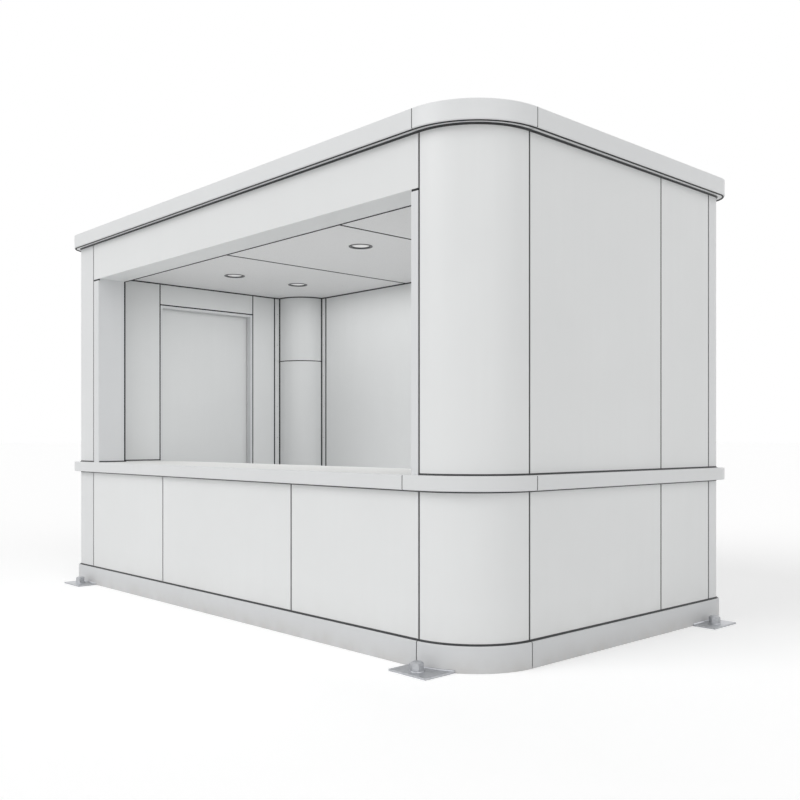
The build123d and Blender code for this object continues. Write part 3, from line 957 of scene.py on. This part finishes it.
# %% Door seal, sweep and ribs
LEAF_THICKNESS = 0.036
DOOR_GAP = 0.006
SEAL_WIDTH, SEAL_RISE = 0.0055, 0.0052
SWEEP_THICKNESS, SWEEP_DROP = 0.004, 0.0048
RIB_WIDTH, RIB_RISE, RIB_COUNT = 0.004, 0.0012, 5
leaf_low, leaf_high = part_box("door_leaf")
threshold_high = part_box("door_threshold")[high]
stop_x = wall_left + LEAF_THICKNESS + DOOR_GAP
seal_edge = leaf_high.y - SEAL_WIDTH / 2 - STRIP_FIT
seal_top = leaf_high.z - SEAL_WIDTH / 2 - STRIP_FIT
bulb = crown(SEAL_WIDTH, SEAL_RISE)[:, ::-1]
door_frame = [
    (stop_x, -seal_edge, threshold_high.z), (stop_x, -seal_edge, seal_top),
    (stop_x, seal_edge, seal_top), (stop_x, seal_edge, threshold_high.z),
]
new_piece("door_seal", [mitred_run(bulb, door_frame, -X)], seal_rubber)

sweep_x = wall_left + LEAF_THICKNESS / 2
thick = SWEEP_THICKNESS / 2
sweep_section = [(0.0, -thick), (SWEEP_DROP, -thick / 2), (SWEEP_DROP, thick / 2), (0.0, thick)]
sweep_ends = [(sweep_x, y, leaf_low.z) for y in (leaf_low.y, leaf_high.y)]
sweep = straight_run(sweep_section, *sweep_ends, -Z)
new_piece("door_sweep", [sweep], seal_rubber, body="staff_door")

rib = crown(RIB_WIDTH, RIB_RISE)
rib_reach = threshold_high.y - DOOR_GAP - JOINT
ribs = [
    straight_run(rib, (x, -rib_reach, threshold_high.z), (x, rib_reach, threshold_high.z), Z)
    for x in np.linspace(stop_x + JOINT, room_left - JOINT, RIB_COUNT)
]
new_piece("threshold_ribs", ribs, slot="threshold_aluminium")

# %% [markdown]
# ## Rings: bolts, washers, lenses and screws
# A turned or forged thing is a stack of rings. Each ring is a radius, which may depend on the angle,
# and a height. One template is worked out in its own axes, then stamped at many places.

# %% Ring stacks and stamping
AXES = {
    "up": (X, Y, Z), "down": (X, -Y, -Z), "left": (Z, Y, -X),
    "right": (Y, Z, X), "front": (X, Z, -Y), "back": (Z, X, Y),
}


def ring_angles(steps):
    """Equal steps round a full turn."""
    return np.arange(steps) * 2.0 * math.pi / steps


def ring_stack(rings, steps):
    """P[i, j] = (r_i(angle_j) cos, r_i(angle_j) sin, h_i(angle_j)), rings from the far end to the base."""
    angle = ring_angles(steps)
    radius = np.stack([np.broadcast_to(r, steps) for r, _ in rings])
    height = np.stack([np.broadcast_to(h, steps) for _, h in rings])
    points = np.stack([radius * np.cos(angle), radius * np.sin(angle), height], axis=-1)
    return points.reshape(-1, 3), grid_faces(len(rings), steps)


def scaled(shares, radius, height):
    """Rings from shares of one radius and one height."""
    return [(r * radius, h * height) for r, h in shares]


def stamped(part, places, facing):
    """Copies of a part at each place, its own axes turned to face that way: place + point . axes."""
    points, faces = part
    turned = points @ np.array(AXES[facing])
    return joined([(turned + np.asarray(place), faces) for place in places])


# %% [markdown]
# Where the copies go is measured: the corners of the frame's bolts, lights and brackets fall into
# clusters, one for each, and the middle of a cluster's box is its place.

# %% Places found in the frame


def middles(points, reach):
    """Middle of each cluster of points, where all points nearer than reach to the first belong to it."""
    near = np.linalg.norm(points[:, None] - points[None], axis=2) < reach
    label = near.argmax(axis=1)
    groups = [points[label == first] for first in np.unique(label)]
    return np.array([(group.min(axis=0) + group.max(axis=0)) / 2 for group in groups])


def frame_points(node):
    """The corners of a frame piece's mesh as an array."""
    mesh = nodes[node].data
    points = np.empty(len(mesh.vertices) * 3)
    mesh.vertices.foreach_get("co", points)
    return points.reshape(-1, 3)


# %% [markdown]
# ## Ground anchors
# Each plate is held down by one big hexagon bolt on a rounded washer. A hexagon is the ring radius
# a / cos(angle within its side); the chamfer of a bolt head falls with the distance past a circle,
# which gives the arcs on its six sides by itself.

# %% Bolts and washers
BOLT_FLATS, BOLT_HEIGHT = 0.058, 0.040
CHAMFER_START, CHAMFER_SLOPE = 0.76, 0.70
WASHER_RADIUS, WASHER_THICKNESS = 0.038, 0.006
WASHER_RINGS = ((0.84, 1.0), (0.93, 0.93), (0.98, 0.75), (1.0, 0.45), (1.0, 0.0))
BOLT_STEPS = 48
HALF_SIDE = math.pi / 6
within_side = (ring_angles(BOLT_STEPS) + HALF_SIDE) % (2 * HALF_SIDE) - HALF_SIDE
hexagon = BOLT_FLATS / 2 / np.cos(within_side)
flat_top = CHAMFER_START * BOLT_FLATS / 2
bolt_top = WASHER_THICKNESS + BOLT_HEIGHT
chamfer = bolt_top - CHAMFER_SLOPE * (hexagon - flat_top)
bolt_head = ring_stack([(flat_top, bolt_top), (hexagon, chamfer), (hexagon, WASHER_THICKNESS)], BOLT_STEPS)
washer = ring_stack(scaled(WASHER_RINGS, WASHER_RADIUS, WASHER_THICKNESS), BOLT_STEPS)
bolt_points = frame_points("anchor_bolts")
above_washer = bolt_points[bolt_points[:, 2] > plate_top + WASHER_THICKNESS]
bolt_places = at_level(middles(above_washer[:, :2], 4 * WASHER_RADIUS), plate_top)
bolts = [stamped(part, bolt_places, "up") for part in (bolt_head, washer)]
hex_bolts = new_piece("hex_bolts", bolts, slot="galvanised_steel")
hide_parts("anchor_bolts")
print("bolts:", len(bolt_places))

# %% [markdown]
# The plates are welded to the plinth. The weld is a quarter-round seam whose size ripples every
# 6 mm, as the torch moved on in small steps.

# %% Welds
WELD_SIZE, WELD_RIPPLE, WELD_STEP = 0.006, 0.16, 0.006
STATIONS_PER_STEP = 5
PLATE_HALF = 0.125
weld_section = np.concatenate([[(0.0, 0.0)], np.column_stack([np.cos(QUARTER_TURN), np.sin(QUARTER_TURN)])])


def along_front_curved(x):
    """Length along the outline at x on the front, also where the plinth's face already curves back."""
    past = max(x - corner_x, 0.0) / (large_radius + plinth_reach)
    return along(FRONT, min(x, corner_x)) + large_radius * math.asin(past)


def plate_ends(x, y):
    """Where the plate with its bolt at x, y starts and ends along the outline."""
    if y < wall_front:
        return along_front_curved(x - PLATE_HALF), along_front_curved(x + PLATE_HALF)
    side, middle = (BACK, x) if y > wall_back else (RIGHT if x > wall_right else LEFT, y)
    return sorted((along(side, middle - PLATE_HALF), along(side, middle + PLATE_HALF)))


def weld(start, end):
    """A seam on the plate's top along the plinth, of the size * (1 + ripple * sin(2 pi s / step))."""
    s = np.arange(start, end, WELD_STEP / STATIONS_PER_STEP)
    base, normal = outline_at(s)
    size = (WELD_SIZE * (1.0 + WELD_RIPPLE * np.sin(2.0 * math.pi * s / WELD_STEP)))[:, None]
    foot = base + plinth_reach * normal + plate_top * Z
    return swept_grid(weld_section, foot, normal * size, Z * size)


welds = [weld(*plate_ends(x, y)) for x, y, _ in bolt_places]
new_piece("plate_welds", welds, slot="galvanised_steel")

# %% [markdown]
# ## Downlights
# The frame gives the dark ring and the body. The opal lens is a shallow dome that hangs in the
# ring, so that it catches light from the side and reads as a pale disc.

# %% Lenses
LENS_RADIUS, LENS_SAG, LENS_RIM_DROP, LENS_RECESS = 0.0575, 0.007, 0.002, 0.010
DOME_SHARES = (0.12, 0.35, 0.6, 0.8, 0.93, 1.0)
LIGHT_REACH = 0.2
BELOW_CEILING = 1e-4
lens_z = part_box("downlights")[low].z + LENS_RECESS
fitting_points = frame_points("downlights")
hanging = fitting_points[fitting_points[:, 2] < ceiling_level - BELOW_CEILING]
light_places = at_level(middles(hanging[:, :2], LIGHT_REACH), lens_z)
dome = [(LENS_RADIUS * share, LENS_RIM_DROP + LENS_SAG * (1.0 - share**2)) for share in DOME_SHARES]
lens = ring_stack(dome + [(LENS_RADIUS, 0.0)], BOLT_STEPS)
new_piece("light_lenses", [stamped(lens, light_places, "down")], opal)
print("lenses:", len(light_places))

# %% [markdown]
# ## Screws
# A pan head is a dome with a six-lobed recess, whose rings have the radius r * (1 + 0.16 * cos(6 *
# angle)). One function gives it in any size.

# %% Screw template
SCREW_STEPS = 24
LOBE_DEPTH, RECESS_SHARE = 0.16, 0.42
RECESS_RINGS = ((0.8, 0.18), (1.0, 0.22), (1.06, 0.60))
HEAD_RINGS = ((0.72, 0.50), (0.92, 0.30), (1.0, 0.10), (1.0, -0.05))


def screw(radius):
    """Pan head: floor and rim of the recess, then the dome out to its edge."""
    lobes = 1.0 + LOBE_DEPTH * np.cos(6.0 * ring_angles(SCREW_STEPS))
    rings = scaled(RECESS_RINGS, RECESS_SHARE * radius * lobes, radius) + scaled(HEAD_RINGS, radius, radius)
    return ring_stack(rings, SCREW_STEPS)


# %% [markdown]
# Screws sit where a fitter needs them: three down each hinge flap, two on each side's handle rose,
# four on each counter bracket and a row down each flat trim of the casing. Those on the leaf are a
# piece of their own, because they ride with the door.

# %% Screws
HINGE_SCREW, ROSE_SCREW, BRACKET_SCREW, TRIM_SCREW = 0.0045, 0.003, 0.006, 0.004
HINGE_FLAP, HINGE_HALF, HINGE_COUNT = 0.004, 0.055, 3
FLAP_INSET, FLAP_PITCH = 0.016, 0.038
ROSE_RADIUS, ROSE_DEPTH, ROSE_PITCH = 0.026, 0.008, 0.018
BRACKET_REACH, BRACKET_FLANGE = 0.15, 0.006
BRACKET_PITCH, BRACKET_LOW, BRACKET_HIGH = 0.02, 0.05, 0.08
TRIM_SCREWS, TRIM_END = 8, 0.15
frame_flap, leaf_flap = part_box("hinge_frame_halves"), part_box("hinge_leaf_halves")
hinge_levels = np.linspace(frame_flap[low].z + HINGE_HALF, frame_flap[high].z - HINGE_HALF, HINGE_COUNT)
flap_levels = [z + dz for z in hinge_levels for dz in (-FLAP_PITCH, 0.0, FLAP_PITCH)]
rose_low, rose_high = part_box("door_handle")
spindle_y = rose_high.y - ROSE_RADIUS
spindle_z = (rose_low.z + rose_high.z) / 2
rose_faces = ((wall_left - ROSE_DEPTH, "left"), (wall_left + LEAF_THICKNESS + ROSE_DEPTH, "right"))
bracket_low, bracket_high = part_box("counter_brackets")
bracket_places = [
    (x + dx, room_front + BRACKET_FLANGE, z)
    for x in middles(frame_points("counter_brackets")[:, :1], BRACKET_REACH)[:, 0]
    for dx in (-BRACKET_PITCH, BRACKET_PITCH)
    for z in (bracket_low.z + BRACKET_LOW, bracket_high.z - BRACKET_HIGH)
]
trim_levels = np.linspace(plinth_top + TRIM_END, ceiling_level - TRIM_END, TRIM_SCREWS)
trim_y = (trims_low.y + casing_low.y) / 2
trim_x = (trims_high.x + casing_high.x) / 2


def flap_screws(y):
    """The screws down the hinge flaps whose screws stand at y."""
    return stamped(screw(HINGE_SCREW), [(wall_left - HINGE_FLAP, y, z) for z in flap_levels], "left")


booth_screws = [
    flap_screws(frame_flap[low].y + FLAP_INSET),
    stamped(screw(BRACKET_SCREW), bracket_places, "back"),
    stamped(screw(TRIM_SCREW), [(room_left + TRIM, trim_y, z) for z in trim_levels], "right"),
    stamped(screw(TRIM_SCREW), [(trim_x, room_back - TRIM, z) for z in trim_levels], "front"),
]
leaf_screws = [flap_screws(leaf_flap[high].y - FLAP_INSET)]
for x, facing in rose_faces:
    places = [(x, spindle_y, spindle_z + dz) for dz in (-ROSE_PITCH, ROSE_PITCH)]
    leaf_screws.append(stamped(screw(ROSE_SCREW), places, facing))
new_piece("fixing_screws", booth_screws, slot="hinge_steel")
new_piece("door_screws", leaf_screws, slot="hinge_steel", body="staff_door")

# %% [markdown]
# ## The door's lock
# The lock's round cover is a larger dome with a plug and a keyway in it. The keyway is a narrow
# superellipse, (cos / length)^4 + (sin / width)^4 = 1 / r^4, which is a slot with round ends.

# %% Lock cover and keyway
LOCK_RADIUS, LOCK_DEPTH, LOCK_DROP = 0.026, 0.007, 0.078
LOCK_RINGS = ((0.80, 1.0), (0.94, 0.80), (1.0, 0.45), (1.0, 0.0))
PLUG_RADIUS, PLUG_RISE = 0.0085, 0.002
KEYWAY_WIDTH, KEYWAY_LENGTH = 0.0022, 0.0085
KEYWAY_FLOOR, KEYWAY_STEP = 0.003, 0.002
KEYWAY_TAPER, PLUG_FLARE = 0.9, 1.06
lock_angle = ring_angles(BOLT_STEPS)
keyway = ((np.cos(lock_angle) / KEYWAY_LENGTH) ** 4 + (np.sin(lock_angle) / KEYWAY_WIDTH) ** 4) ** -0.25
plug_top = LOCK_DEPTH + PLUG_RISE
lock_cover = ring_stack([
    (KEYWAY_TAPER * keyway, LOCK_DEPTH - KEYWAY_FLOOR), (keyway, LOCK_DEPTH - KEYWAY_STEP),
    (keyway, plug_top), (PLUG_RADIUS, plug_top), (PLUG_FLARE * PLUG_RADIUS, LOCK_DEPTH),
    *scaled(LOCK_RINGS, LOCK_RADIUS, LOCK_DEPTH),
], BOLT_STEPS)
lock_covers = [
    stamped(lock_cover, [(x, spindle_y, spindle_z - LOCK_DROP)], facing)
    for x, facing in ((wall_left, "left"), (wall_left + LEAF_THICKNESS, "right"))
]
new_piece("lock_covers", lock_covers, slot="handle_steel", body="staff_door")

# %% [markdown]
# ## Roof sealant
# On the roof the deck ends at the cap's inner face in a wide bead. Its path is the outline moved
# inwards, and its height follows the deck: level along the eaves, and up to the ridge on the sides.

# %% Roof bead
EAVES, RIDGE = 0.030, 0.060
ROOF_BEAD = 0.016


def deck_edge(s):
    """Points where the deck meets the cap, with a height that falls with |y| from ridge to eaves."""
    base, normal = outline_at(s)
    base -= CAP_INNER * normal
    base[:, 2] = wall_top + EAVES + (RIDGE - EAVES) * (1.0 - np.abs(base[:, 1]) / (wall_back - CAP_INNER))
    return base, normal


ridge_ends = [along(RIGHT, 0.0), along(LEFT, 0.0)]
roof_stations = np.unique(np.concatenate([stations(0.0, outline_length)[:-1], ridge_ends]))
roof_bead = swept_grid(bead(-ROOF_BEAD, ROOF_BEAD), *deck_edge(roof_stations), Z, closed=True)
new_piece("roof_sealant", [roof_bead], sealant)
